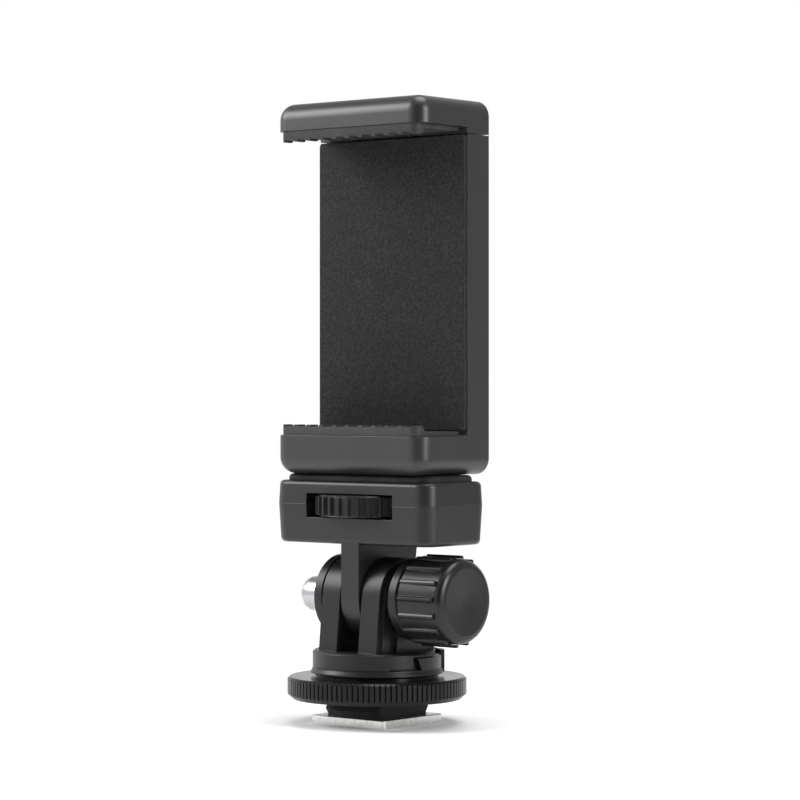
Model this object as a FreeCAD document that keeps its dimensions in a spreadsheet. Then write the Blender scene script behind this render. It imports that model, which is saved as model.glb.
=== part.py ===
import FreeCAD, Part
import os
import re
import Sketcher

# Phone clamp on a tilting head with a shoe foot, in millimetres.
# +X points to the tilt knob, -Y to the side that the phone faces, +Z up.
# The origin is the centre of the foot plate's underside.

SIZES = {
    # Foot plate and its screws
    "plate_side": 18.5,
    "plate_thickness": 1.7,
    "plate_corner": 1.0,
    "plate_bevel": 0.1,
    "foot_screw_spread": 8.8,
    "foot_screw_head": 3.8,
    "foot_screw_shank": 2.0,
    "foot_screw_length": 5.6,
    # Threaded stem with two flats, and the spigot that the yoke turns on
    "stem_diameter": 20.2,
    "stem_flats": 13.4,
    "stem_relief": 0.45,
    "thread_turns": 4,
    "thread_depth": 0.5,
    "spigot_diameter": 11.0,
    "spigot_height": 2.2,
    # Lock wheel
    "wheel_bottom": 4.9,
    "wheel_height": 4.3,
    "wheel_diameter": 34.9,
    "wheel_ribs": 104,
    "knurl_depth": 0.45,
    "wheel_bevel": 0.95,
    "hub_diameter": 24.0,
    "hub_height": 0.4,
    # Base disc of the yoke
    "disc_gap": 0.3,
    "disc_height": 4.4,
    "disc_diameter": 25.1,
    "disc_bevel": 0.35,
    # Lock ring round the foot of the disc, its bearings in degrees from +X
    "ring_bore": 22.8,
    "ring_height": 1.15,
    "lip_diameter": 25.8,
    "lip_edge": 0.3,
    "lip_height": 1.0,
    "raised_height": 3.45,
    "raised_start": 9.4,
    "raised_end": 56.0,
    "raised_slant": 24.0,
    "ring_travel": 4.5,
    "ring_play": 0.3,
    "window_slit": 0.25,
    "slit_sweep": 22.0,
    "notch_start": 14.6,
    "tab_start": 40.0,
    "tab_diameter": 26.3,
    "tab_thickness": 0.8,
    # Ears, bosses and webs of the yoke
    "pivot_height": 24.45,
    "ear_gap": 5.5,
    "ear_thickness": 4.45,
    "ear_radius": 7.9,
    "ear_lean": 6.0,
    "ear_rim": 1.0,
    "panel_rise": 0.6,
    "boss_diameter": 13.0,
    "boss_length": 2.0,
    "left_disc_diameter": 16.1,
    "left_disc_gap": 0.2,
    "head_seat_diameter": 9.0,
    "head_seat_length": 1.8,
    "web_width": 9.2,
    "web_rise": 0.9,
    # Pan screw
    "pan_screw_head": 4.8,
    "pan_screw_head_height": 1.4,
    "pan_screw_shank": 3.0,
    "pan_screw_length": 7.0,
    "pan_screw_sink": 1.0,
    # Pivot bolt, collar and knob
    "bolt_diameter": 4.0,
    "bolt_head_diameter": 7.0,
    "bolt_head_length": 6.5,
    "bolt_head_round": 2.0,
    "bolt_engage": 6.15,
    "collar_diameter": 15.8,
    "collar_thickness": 2.1,
    "collar_bevel": 0.4,
    "knob_hub_diameter": 10.0,
    "knob_hub_length": 0.8,
    "knob_diameter": 17.0,
    "knob_crown_diameter": 16.2,
    "knob_length": 10.1,
    "knob_round": 1.6,
    "knob_dish": 0.4,
    "knob_ribs": 16,
    "knob_rib_turn": 5.3,
    "knob_rib_width": 1.1,
    "knob_rib_rise": 0.3,
    "knob_rib_stop": 1.8,
    "nut_diameter": 6.6,
    "nut_margin": 0.85,
    # Head block
    "head_width": 39.4,
    "head_front": 8.6,
    "head_back": 10.2,
    "head_corner": 3.4,
    "head_rise": 10.55,
    "head_lower": 7.6,
    "head_upper": 4.5,
    "head_draft": 2.5,
    "head_edge": 0.9,
    "tongue_thickness": 4.4,
    "tongue_radius": 8.2,
    "tongue_back": 9.8,
    "tongue_boss": 13.0,
    "head_pad_inset": 1.65,
    "head_pad_thickness": 1.25,
    "head_pad_bevel": 0.8,
    "head_screw_across": 31.0,
    "head_screw_apart": 11.0,
    "head_screw_head": 3.8,
    "head_screw_head_height": 1.3,
    "head_screw_sink": 1.6,
    "head_screw_shank": 2.0,
    "head_screw_length": 8.5,
    # Thumbwheel and mounting screw
    "slot_width": 21.6,
    "slot_height": 4.7,
    "slot_drop": 0.25,
    "thumb_diameter": 24.0,
    "thumb_height": 4.2,
    "thumb_ribs": 34,
    "thumb_rib_width": 1.15,
    "thumb_rib_rise": 0.65,
    "thumb_pivot_diameter": 6.0,
    "thumb_pivot_length": 2.4,
    "screw_diameter": 6.35,
    "screw_rise": 5.6,
    "screw_hexagon": 9.5,
    "screw_hexagon_height": 3.0,
    # Clamp body: lower jaw and post
    "swivel_gap": 0.05,
    "clamp_width": 37.2,
    "clamp_front": 9.35,
    "clamp_back": 11.5,
    "clamp_round": 3.2,
    "jaw_height": 7.5,
    "post_height": 65.5,
    "post_depth": 6.7,
    "insert_diameter": 9.2,
    "insert_length": 6.0,
    # Spring chamber and its cover
    "channel_width": 23.0,
    "channel_wall": 1.5,
    "channel_floor": 10.0,
    "cover_width": 31.0,
    "cover_thickness": 1.6,
    "cover_height": 54.5,
    "cover_corner": 1.0,
    "cover_screw_inset": 2.0,
    "cover_screw_head": 2.6,
    "cover_screw_head_height": 0.8,
    "cover_screw_sink": 0.9,
    "cover_screw_shank": 1.4,
    "cover_screw_length": 4.2,
    # Upper jaw and its slider
    "jaw_gap": 0.2,
    "leg_height": 1.2,
    "upper_height": 5.45,
    "slider_thickness": 3.4,
    "slider_length": 42.5,
    "slider_socket": 4.6,
    "slider_rail": 2.6,
    "slider_web": 2.2,
    "slider_screw_apart": 12.0,
    # Springs
    "spring_apart": 13.0,
    "spring_diameter": 3.2,
    "spring_wire": 0.5,
    "pin_diameter": 1.6,
    "pin_rise": 2.0,
    # Rubber and foam
    "jaw_pad_side_inset": 1.4,
    "jaw_pad_front_inset": 0.2,
    "jaw_pad_base": 0.9,
    "jaw_pad_lip": 2.1,
    "jaw_pad_lip_depth": 2.4,
    "jaw_pad_corner": 1.8,
    "bump_count": 11,
    "bump_width": 1.2,
    "bump_height": 0.35,
    "bump_inset": 0.4,
    "bump_margin": 0.25,
    "back_pad_width": 36.7,
    "back_pad_thickness": 0.8,
    "back_pad_corner": 0.8,
    # Clearances
    "run_clearance": 0.08,
    "fit_clearance": 0.03,
    "wheel_clearance": 0.35,
}

# Heights and reaches that follow from the sizes
DISC_BOTTOM = "(wheel_bottom + wheel_height + hub_height + disc_gap)"
DISC_TOP = f"({DISC_BOTTOM} + disc_height)"
RING_TOP = f"({DISC_BOTTOM} + ring_height)"
RAISED_TOP = f"({DISC_BOTTOM} + raised_height)"
SLANT_SWEEP = "((raised_height - ring_height) * tan(raised_slant) / ring_bore * 180 / pi)"
WINDOW_START = f"(raised_start + {SLANT_SWEEP} + ring_travel + ring_play)"
WINDOW_END = "(raised_end + ring_play)"
EAR_OUTER = "(ear_gap / 2 + ear_thickness)"
PANEL_END = f"({EAR_OUTER} + panel_rise)"
WEB_END = f"({PANEL_END} + web_rise)"
BOSS_END = f"({EAR_OUTER} + boss_length)"
COLLAR_END = f"({BOSS_END} + collar_thickness)"
SEAT_END = f"({BOSS_END} + head_seat_length)"
HUB_START = f"({COLLAR_END} + swivel_gap)"
BOLT_END = f"({HUB_START} + bolt_engage)"
NUT_END = f"({BOLT_END} + nut_margin)"
KNOB_START = f"({COLLAR_END} + knob_hub_length)"
KNOB_END = f"({KNOB_START} + knob_length)"
HEAD_BOTTOM = "(pivot_height + head_rise)"
PARTING = f"({HEAD_BOTTOM} + head_lower)"
HEAD_TOP = f"({PARTING} + head_upper)"
SLOT_MIDDLE = f"({PARTING} - slot_drop)"
HEAD_SEAT = f"({HEAD_BOTTOM} + head_screw_sink)"
HEAD_PAD_TOP = f"({HEAD_TOP} + head_pad_thickness)"
CLAMP_BOTTOM = f"({HEAD_PAD_TOP} + swivel_gap)"
JAW_TOP = f"({CLAMP_BOTTOM} + jaw_height)"
POST_TOP = f"({CLAMP_BOTTOM} + post_height)"
POST_FRONT = "(clamp_back - post_depth)"
UPPER_LEG = f"({POST_TOP} + jaw_gap)"
UPPER_BOTTOM = f"({UPPER_LEG} + leg_height)"
UPPER_TOP = f"({UPPER_BOTTOM} + upper_height)"
CHANNEL_FRONT = f"({POST_FRONT} + channel_wall)"
CHANNEL_BACK = "(clamp_back - cover_thickness)"
CHANNEL_BOTTOM = f"({CLAMP_BOTTOM} + channel_floor)"
COVER_TOP = f"({CHANNEL_BOTTOM} - 1 + cover_height)"
SLIDER_TOP = f"({UPPER_LEG} + slider_socket)"
SLIDER_BOTTOM = f"({SLIDER_TOP} - slider_length)"
FOOT_SINK = "((foot_screw_head - foot_screw_shank) / 2)"
SPRING_Y = f"(({CHANNEL_FRONT} + {CHANNEL_BACK}) / 2)"
PIN_LEVEL = f"({CHANNEL_BOTTOM} + pin_rise)"

doc = FreeCAD.newDocument("phone_mount")
sheet = doc.addObject("Spreadsheet::Sheet", "Sizes")
for row, (alias, number) in enumerate(SIZES.items(), start=1):
    sheet.set(f"A{row}", alias)
    sheet.set(f"B{row}", str(number))
    sheet.setAlias(f"B{row}", alias)
doc.recompute()

PLANES = {"x": "YZ_Plane", "y": "XZ_Plane", "z": "XY_Plane"}
TURN = {
    "x": FreeCAD.Rotation(FreeCAD.Vector(0, 1, 0), 90),
    "y": FreeCAD.Rotation(FreeCAD.Vector(1, 0, 0), -90),
    "z": FreeCAD.Rotation(),
}
NEAR = 1e-4
subparts = []


def formula(text):
    """The text as an expression on the sheet's cells."""
    return re.sub(r"[a-z_]+", lambda m: f"Sizes.{m[0]}" if m[0] in SIZES else m[0], str(text))


def bind(item, name, text):
    item.setExpression(name, formula(text))


def value(text):
    return float(sheet.evalExpression(formula(text)))


def keep(item, label):
    """Name a finished sub-part; its label is the name of its file."""
    item.Label = label
    subparts.append(item)
    return item


def box(x, y, z):
    """Block between a low and a high formula along each axis."""
    solid = doc.addObject("Part::Box", "Block")
    for side, axis, (low, high) in zip(("Length", "Width", "Height"), "xyz", (x, y, z)):
        bind(solid, side, f"({high}) - ({low})")
        bind(solid, f"Placement.Base.{axis}", low)
    return solid


def place_round(solid, axis, low, centre):
    solid.Placement = FreeCAD.Placement(FreeCAD.Vector(), TURN[axis])
    spots = dict(zip([other for other in "xyz" if other != axis], centre))
    spots[axis] = low
    for name, text in spots.items():
        bind(solid, f"Placement.Base.{name}", text)
    return solid


def rod(axis, diameter, low, high, centre=("0", "0")):
    """Cylinder along an axis, its centre given on the other two axes."""
    solid = doc.addObject("Part::Cylinder", "Rod")
    bind(solid, "Radius", f"({diameter}) / 2")
    bind(solid, "Height", f"({high}) - ({low})")
    return place_round(solid, axis, low, centre)


def cone(axis, low_diameter, high_diameter, low, high, centre=("0", "0")):
    solid = doc.addObject("Part::Cone", "Cone")
    bind(solid, "Radius1", f"({low_diameter}) / 2")
    bind(solid, "Radius2", f"({high_diameter}) / 2")
    bind(solid, "Height", f"({high}) - ({low})")
    return place_round(solid, axis, low, centre)


def turned(item, axis, angle):
    """Turn an item about X or Z by a formula in degrees."""
    direction = FreeCAD.Vector(axis == "x", 0, axis == "z")
    item.Placement = FreeCAD.Placement(FreeCAD.Vector(), FreeCAD.Rotation(direction, 1))
    bind(item, "Placement.Rotation.Angle", angle)
    return item


def wedge(inner, outer, low, high, start, end):
    """Part of a flat ring about Z, between two bearings in degrees from +X."""
    sector = turned(doc.addObject("Part::Cylinder", "Sector"), "z", start)
    bind(sector, "Radius", f"({outer}) / 2")
    bind(sector, "Height", f"({high}) - ({low})")
    bind(sector, "Angle", f"({end}) - ({start})")
    bind(sector, "Placement.Base.z", low)
    return cut(sector, rod("z", inner, f"{low} - 1", f"{high} + 1"))


def hexagon(across, low, high):
    """Hexagonal prism along Z, by the distance across its flats."""
    solid = doc.addObject("Part::Prism", "Hexagon")
    solid.Polygon = 6
    bind(solid, "Circumradius", f"({across}) / sqrt(3)")
    bind(solid, "Height", f"({high}) - ({low})")
    bind(solid, "Placement.Base.z", low)
    return solid


def fuse(*solids):
    joined = doc.addObject("Part::MultiFuse", "Joined")
    joined.Shapes = list(solids)
    return joined


def common(*solids):
    shared = doc.addObject("Part::MultiCommon", "Shared")
    shared.Shapes = list(solids)
    return shared


def cut(base, *tools):
    left = doc.addObject("Part::Cut", "Cut")
    left.Base = base
    left.Tool = tools[0] if len(tools) == 1 else fuse(*tools)
    return left


def group(*solids):
    """Separate like solids that share one node."""
    several = doc.addObject("Part::Compound", "Group")
    several.Links = list(solids)
    return several


def span(first, second):
    """Two formulas in the order of their values."""
    return sorted((first, second), key=value)


def cross_recess(axis, low, high, across, centre):
    """Cross-shaped recess for a driver."""
    others = [other for other in "xyz" if other != axis]
    bars = []
    for long_way in others:
        sides = {axis: (low, high)}
        for other, middle in zip(others, centre):
            half = f"({across}) * {0.5 if other == long_way else 0.14}"
            sides[other] = (f"({middle}) - {half}", f"({middle}) + {half}")
        bars.append(box(sides["x"], sides["y"], sides["z"]))
    return fuse(*bars)


def screw(axis, tip, seat, top, head, shank, centre):
    """Screw with a round head and a cross recess; the head may point either way."""
    floor = f"({top}) - (({top}) - ({seat})) * 0.6"
    solid = fuse(rod(axis, shank, *span(tip, seat), centre), rod(axis, head, *span(seat, top), centre))
    return cut(solid, cross_recess(axis, *span(floor, top), f"({head}) * 0.55", centre))


def along(axis):
    """Test for straight edges parallel to an axis."""
    direction = {"x": (1, 0, 0), "y": (0, 1, 0), "z": (0, 0, 1)}[axis]

    def test(edge):
        if edge.Curve.TypeId != "Part::GeomLine":
            return False
        return abs(edge.tangentAt(edge.FirstParameter).dot(FreeCAD.Vector(*direction))) > 0.99

    return test


def at_level(axis, text):
    """Test for edges that lie in a plane across an axis."""

    def test(edge):
        bounds = edge.BoundBox
        ends = getattr(bounds, f"{axis.upper()}Min"), getattr(bounds, f"{axis.upper()}Max")
        return all(abs(end - value(text)) < NEAR for end in ends)

    return test


def edge_numbers(item, *tests):
    doc.recompute()
    return [i for i, edge in enumerate(item.Shape.Edges, start=1) if all(test(edge) for test in tests)]


def rounded(item, radius, *tests):
    """Fillet on the edges of a solid that pass every test."""
    smooth = doc.addObject("Part::Fillet", "Rounded")
    smooth.Base = item
    smooth.Edges = [(i, value(radius), value(radius)) for i in edge_numbers(item, *tests)]
    return smooth


def new_body(label, height="0"):
    body = doc.addObject("PartDesign::Body", label)
    bind(body, "Placement.Base.z", height)
    return keep(body, label)


def origin_item(body, role):
    return next(item for item in body.Origin.OriginFeatures if item.Role == role)


def new_sketch(body, axis, start):
    sketch = body.newObject("Sketcher::SketchObject", "Outline")
    sketch.AttachmentSupport = (origin_item(body, PLANES[axis]), [""])
    sketch.MapMode = "FlatFace"
    bind(sketch, "AttachmentOffset.Base.z", f"-({start})" if axis == "y" else start)
    return sketch


def pin_point(sketch, geometry, point, place):
    """Hold a point of the sketch at two formulas."""
    for kind, text in zip(("DistanceX", "DistanceY"), place):
        number = sketch.addConstraint(Sketcher.Constraint(kind, -1, 1, geometry, point, value(text)))
        bind(sketch, f"Constraints[{number}]", text)


def polygon(body, axis, corners, start="0"):
    """Closed outline across an axis, each corner a pair of formulas."""
    sketch = new_sketch(body, axis, start)
    points = [FreeCAD.Vector(value(u), value(v), 0) for u, v in corners]
    for point, after in zip(points, points[1:] + points[:1]):
        sketch.addGeometry(Part.LineSegment(point, after), False)
    for i in range(len(points)):
        sketch.addConstraint(Sketcher.Constraint("Coincident", i, 2, (i + 1) % len(points), 1))
    for i, corner in enumerate(corners):
        pin_point(sketch, i, 1, corner)
    return sketch


def circles(body, axis, rounds, start="0"):
    """Circles across an axis, each given by its centre and diameter."""
    sketch = new_sketch(body, axis, start)
    for u, v, diameter in rounds:
        centre = FreeCAD.Vector(value(u), value(v), 0)
        number = sketch.addGeometry(Part.Circle(centre, FreeCAD.Vector(0, 0, 1), value(diameter) / 2), False)
        pin_point(sketch, number, 3, (u, v))
        size = sketch.addConstraint(Sketcher.Constraint("Diameter", number, value(diameter)))
        bind(sketch, f"Constraints[{size}]", diameter)
    return sketch


def extrude(body, kind, axis, draw, shape, low, high):
    """Pad or pocket of an outline between two places along an axis."""
    from_low = (kind == "Pad") != (axis == "y")
    sketch = draw(body, axis, shape, low if from_low else high)
    feature = body.newObject(f"PartDesign::{kind}", kind)
    feature.Profile = sketch
    bind(feature, "Length", f"({high}) - ({low})")
    return feature


def pad(body, axis, corners, low, high):
    return extrude(body, "Pad", axis, polygon, corners, low, high)


def pad_round(body, axis, rounds, low, high):
    return extrude(body, "Pad", axis, circles, rounds, low, high)


def pocket(body, axis, corners, low, high):
    return extrude(body, "Pocket", axis, polygon, corners, low, high)


def pocket_round(body, axis, rounds, low, high):
    return extrude(body, "Pocket", axis, circles, rounds, low, high)


def revolve(body, corners, axis="z", kind="Revolution"):
    """Turned solid or groove: corners are X and Z, turned about the body's own Z or X axis."""
    sketch = polygon(body, "y", corners)
    feature = body.newObject(f"PartDesign::{kind}", kind)
    feature.Profile = sketch
    feature.ReferenceAxis = (sketch, ["V_Axis" if axis == "z" else "H_Axis"])
    feature.Angle = 360
    return feature


def fillet(body, radius, *tests, kind="Fillet"):
    base = body.Tip
    numbers = edge_numbers(base, *tests)
    feature = body.newObject(f"PartDesign::{kind}", kind)
    feature.Base = (base, [f"Edge{i}" for i in numbers])
    bind(feature, "Radius" if kind == "Fillet" else "Size", radius)
    return feature


def chamfer(body, size, *tests):
    return fillet(body, size, *tests, kind="Chamfer")


def polar(body, features, role, count):
    pattern = body.newObject("PartDesign::PolarPattern", "Polar")
    pattern.Originals = features
    pattern.Axis = (origin_item(body, role), [""])
    pattern.Angle = 360
    bind(pattern, "Occurrences", count)
    body.Tip = pattern
    return pattern


def rectangle(x_low, x_high, y_low, y_high):
    return [(x_low, y_low), (x_high, y_low), (x_high, y_high), (x_low, y_high)]


def arc_points(u, v, radius, start, end, steps=4):
    """Places on an arc about (u, v), from one angle in degrees to another."""
    angles = [start + (end - start) * i / steps for i in range(steps + 1)]
    return [(f"{u} + {radius} * cos({angle})", f"{v} + {radius} * sin({angle})") for angle in angles]


def rib_outline(root, top, width, turn="0"):
    """Cross-section of a rib that stands outwards at a bearing from the second axis."""
    half = f"({width}) / 2"
    middle = f"(({root}) + ({top})) / 2"
    side = [(root, half), (middle, f"{half} * 0.85"), (top, f"{half} * 0.4")]
    corners = side + [(out, f"-{off}") for out, off in reversed(side)]
    return [
        (f"({out}) * sin({turn}) + ({off}) * cos({turn})", f"({out}) * cos({turn}) - ({off}) * sin({turn})")
        for out, off in corners
    ]


def corners_of(across, along_y):
    """The four places, centred on the origin, that two spreads give."""
    return [(f"{sx} * ({across}) / 2", f"{sy} * ({along_y}) / 2") for sx in (-1, 1) for sy in (-1, 1)]


def make_shoe_plate():
    """Steel foot plate with countersunk holes from below."""
    body = new_body("shoe_plate")
    half = "plate_side / 2"
    pad(body, "z", rectangle(f"-{half}", half, f"-{half}", half), "0", "plate_thickness")
    fillet(body, "plate_corner", along("z"))
    chamfer(body, "plate_bevel", at_level("z", "plate_thickness"))
    places = corners_of("foot_screw_spread", "foot_screw_spread")
    hole = "foot_screw_shank + 2 * run_clearance"
    pocket_round(body, "z", [(x, y, hole) for x, y in places], "0", "plate_thickness")
    chamfer(body, FOOT_SINK, at_level("z", "0"), lambda edge: edge.isClosed())
    return body


def make_foot_screws():
    """Four countersunk screws, heads down, flush with the plate."""
    screws = []
    top = f"fit_clearance + {FOOT_SINK}"
    for place in corners_of("foot_screw_spread", "foot_screw_spread"):
        head = cone("z", "foot_screw_head", "foot_screw_shank", "fit_clearance", top, place)
        shank = rod("z", "foot_screw_shank", top, "foot_screw_length", place)
        recess = cross_recess("z", "0", f"{FOOT_SINK} * 0.7", "foot_screw_head * 0.55", place)
        screws.append(cut(fuse(head, shank), recess))
    return keep(group(*screws), "foot_screws")


def make_foot_stem():
    """Coarse thread with two flats, narrow relief at the plate, spigot on top."""
    body = new_body("foot_stem")
    outer = "stem_diameter / 2"
    root = f"({outer} - thread_depth)"
    start = "(plate_thickness + stem_relief)"
    top = f"({DISC_BOTTOM} - swivel_gap)"
    turns = int(value("thread_turns"))
    corners = [("0", "plate_thickness"), (root, "plate_thickness"), (root, start)]
    for turn in range(turns):
        step = f"({top} - {start}) / thread_turns"
        corners.append((outer, f"{start} + {step} * {turn + 0.5}"))
        corners.append((root, f"{start} + {step} * {turn + 1}"))
    spigot = "spigot_diameter / 2"
    spigot_top = f"{DISC_BOTTOM} + spigot_height"
    corners += [(spigot, top), (spigot, spigot_top), ("0", spigot_top)]
    revolve(body, corners)
    for side in (-1, 1):
        near = f"{side} * stem_flats / 2"
        far = f"{side} * stem_diameter"
        ends = (near, far) if side > 0 else (far, near)
        pocket(body, "z", rectangle(*ends, "-stem_diameter", "stem_diameter"), "0", top)
    places = corners_of("foot_screw_spread", "foot_screw_spread")
    hole = "foot_screw_shank + 2 * fit_clearance"
    pocket_round(body, "z", [(x, y, hole) for x, y in places], "0", "foot_screw_length + 0.5")
    pilot = "pan_screw_shank + 2 * fit_clearance"
    bottom = f"{DISC_TOP} - pan_screw_sink - pan_screw_length - 0.5"
    pocket_round(body, "z", [("0", "0", pilot)], bottom, spigot_top)
    return body


def make_lock_wheel():
    """Knurled wheel on the stem's thread, with a low hub ring on top."""
    body = new_body("lock_wheel")
    bore = "stem_diameter / 2 + run_clearance"
    outer = "wheel_diameter / 2"
    top = "(wheel_bottom + wheel_height)"
    hub_top = f"{top} + hub_height"
    revolve(
        body,
        [
            (bore, "wheel_bottom"),
            (f"{outer} - wheel_bevel", "wheel_bottom"),
            (outer, "wheel_bottom + wheel_bevel"),
            (outer, f"{top} - wheel_bevel / 2"),
            (f"{outer} - wheel_bevel / 2", top),
            ("hub_diameter / 2", top),
            ("hub_diameter / 2", hub_top),
            (bore, hub_top),
        ],
    )
    half = "(pi * wheel_diameter / wheel_ribs * 0.36)"
    groove = [
        (f"{outer} - knurl_depth", "0"),
        (f"{outer} + knurl_depth", f"-{half}"),
        (f"{outer} + knurl_depth", half),
    ]
    cut_one = pocket(body, "z", groove, "wheel_bottom", top)
    polar(body, [cut_one], "Z_Axis", "wheel_ribs")
    return body


def ear_outline(radius, foot):
    """Side view of an ear: two tangents that lean out from its round top to its foot."""
    touch_y = f"({radius}) * cos(ear_lean)"
    touch_z = f"pivot_height + ({radius}) * sin(ear_lean)"
    foot_y = f"({touch_y} + ({touch_z} - ({foot})) * tan(ear_lean))"
    return [(f"-{foot_y}", foot), (foot_y, foot), (touch_y, touch_z), (f"-{touch_y}", touch_z)]


def make_yoke():
    """Base disc with two ears, raised panels, bosses and webs, moulded in one."""
    body = doc.addObject("PartDesign::Body", "Moulding")
    outer = "disc_diameter / 2"
    step = "(ring_bore / 2 - run_clearance)"
    bore = "spigot_diameter / 2 + run_clearance"
    bore_top = f"{DISC_BOTTOM} + spigot_height + swivel_gap"
    foot = f"({DISC_TOP} - disc_bevel)"
    revolve(
        body,
        [
            (bore, DISC_BOTTOM),
            (step, DISC_BOTTOM),
            (step, f"{RING_TOP} + swivel_gap"),
            (outer, f"{RING_TOP} + swivel_gap"),
            (outer, foot),
            (f"{outer} - disc_bevel", DISC_TOP),
            ("0", DISC_TOP),
            ("0", bore_top),
            (bore, bore_top),
        ],
    )
    web_top = "(pivot_height - web_width / 2)"
    web_side = f"(web_width / 2 - ({web_top} - {foot}) * tan(ear_lean))"
    web = [("-web_width / 2", foot), ("web_width / 2", foot), (web_side, web_top), (f"-{web_side}", web_top)]
    for side in (-1, 1):
        ear = span(f"{side} * ear_gap / 2", f"{side} * {EAR_OUTER}")
        panel = span(f"{side} * {EAR_OUTER}", f"{side} * {PANEL_END}")
        for radius, reach in (("ear_radius", ear), ("(ear_radius - ear_rim)", panel)):
            pad(body, "x", ear_outline(radius, foot), *reach)
            pad_round(body, "x", [("0", "pivot_height", f"2 * {radius}")], *reach)
        boss = span(f"{side} * {EAR_OUTER}", f"{side} * {BOSS_END}")
        pad_round(body, "x", [("0", "pivot_height", "boss_diameter")], *boss)
        pad(body, "x", web, *span(f"{side} * {EAR_OUTER}", f"{side} * {WEB_END}"))
    left_disc = (f"-{BOSS_END}", f"-({EAR_OUTER} + left_disc_gap)")
    pad_round(body, "x", [("0", "pivot_height", "left_disc_diameter")], *left_disc)
    pad_round(body, "x", [("0", "pivot_height", "head_seat_diameter")], f"-{SEAT_END}", f"-{BOSS_END}")
    hole = "bolt_diameter + 2 * run_clearance"
    pocket_round(body, "x", [("0", "pivot_height", hole)], f"-{SEAT_END}", BOSS_END)
    screw_hole = "pan_screw_shank + 2 * run_clearance"
    pocket_round(body, "z", [("0", "0", screw_hole)], bore_top, DISC_TOP)
    sink = "pan_screw_head + 2 * run_clearance"
    pocket_round(body, "z", [("0", "0", sink)], f"{DISC_TOP} - pan_screw_sink", DISC_TOP)
    inner = "(ring_bore - 2 * run_clearance)"
    far = "lip_diameter + 1"
    window = wedge(inner, far, RING_TOP, f"{RAISED_TOP} + window_slit", f"-{WINDOW_START}", WINDOW_END)
    notch = wedge(inner, far, f"{RAISED_TOP} + run_clearance", f"{DISC_TOP} + 1", "notch_start", WINDOW_END)
    slit_top = f"{RING_TOP} + swivel_gap + window_slit"
    slit_start = f"-({WINDOW_START} + slit_sweep)"
    slit = wedge(inner, far, RING_TOP, slit_top, slit_start, f"-{WINDOW_START} + ring_play")
    return keep(cut(body, window, notch, slit), "yoke")


def make_lock_ring():
    """Ring round the foot of the disc, with a raised stop that ends in a thumb tab."""
    lip_top = f"{DISC_BOTTOM} + lip_height"
    flare_low = f"{DISC_BOTTOM} + lip_edge"
    band = rod("z", "disc_diameter", DISC_BOTTOM, RING_TOP)
    edge = rod("z", "lip_diameter", DISC_BOTTOM, flare_low)
    flare = cone("z", "lip_diameter", "disc_diameter", flare_low, lip_top)
    sector = wedge("ring_bore", "disc_diameter", DISC_BOTTOM, RAISED_TOP, f"-{WINDOW_START}", "raised_end")
    reach = "2 * raised_height"
    waste = box(("ring_bore / 2 - 1", "lip_diameter / 2 + 1"), (f"-{reach}", "0"), ("0", reach))
    bind(waste, "Placement.Base.z", f"-({RAISED_TOP} - {RING_TOP}) / 2 / cos(raised_slant)")
    slope = turned(group(turned(group(waste), "x", "raised_slant")), "z", "-raised_start")
    bind(slope, "Placement.Base.z", f"({RING_TOP} + {RAISED_TOP}) / 2")
    tab_top = f"{DISC_TOP} - run_clearance"
    tab_bore = "tab_diameter - 2 * tab_thickness"
    tab = wedge(tab_bore, "tab_diameter", DISC_BOTTOM, tab_top, "tab_start", "raised_end")
    bore = rod("z", "ring_bore", f"{DISC_BOTTOM} - 1", f"{DISC_TOP} + 1")
    return keep(cut(fuse(band, edge, flare, cut(sector, slope), tab), bore), "lock_ring")


def make_pan_screw():
    """Shouldered screw that holds the yoke down on the spigot."""
    seat = f"({DISC_TOP} - pan_screw_sink + swivel_gap)"
    head_top = f"{seat} + pan_screw_head_height"
    head = rod("z", "pan_screw_head", seat, head_top)
    shank = rod("z", "pan_screw_shank", f"{seat} - pan_screw_length", seat)
    recess = hexagon("pan_screw_head * 0.5", f"{head_top} - 0.8", f"{head_top} + 1")
    return keep(cut(fuse(head, shank), recess), "pan_screw")


def make_pivot_bolt():
    """Bright bolt through both ears, its domed head on the side away from the knob."""
    body = new_body("pivot_bolt", "pivot_height")
    seat = f"-({SEAT_END} + fit_clearance)"
    dome_centre = f"({seat} - bolt_head_length + bolt_head_round)"
    rim = "(bolt_head_diameter / 2 - bolt_head_round)"
    revolve(
        body,
        [(f"{dome_centre} - bolt_head_round", "0")]
        + arc_points(dome_centre, rim, "bolt_head_round", 180, 90)
        + [
            (seat, "bolt_head_diameter / 2"),
            (seat, "bolt_diameter / 2"),
            (BOLT_END, "bolt_diameter / 2"),
            (BOLT_END, "0"),
        ],
        axis="x",
    )
    return body


def make_knob_collar():
    """Ring that the knob presses on the ear, bevelled towards the knob."""
    centre = ("0", "pivot_height")
    bevel_start = f"({COLLAR_END} - collar_bevel)"
    ring = rod("x", "collar_diameter", f"{BOSS_END} + fit_clearance", bevel_start, centre)
    end = "collar_diameter - 2 * collar_bevel"
    bevel = cone("x", "collar_diameter", end, bevel_start, COLLAR_END, centre)
    hole = rod("x", "bolt_diameter + 2 * run_clearance", "0", f"{COLLAR_END} + 1", centre)
    return keep(cut(fuse(ring, bevel), hole), "knob_collar")


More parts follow.
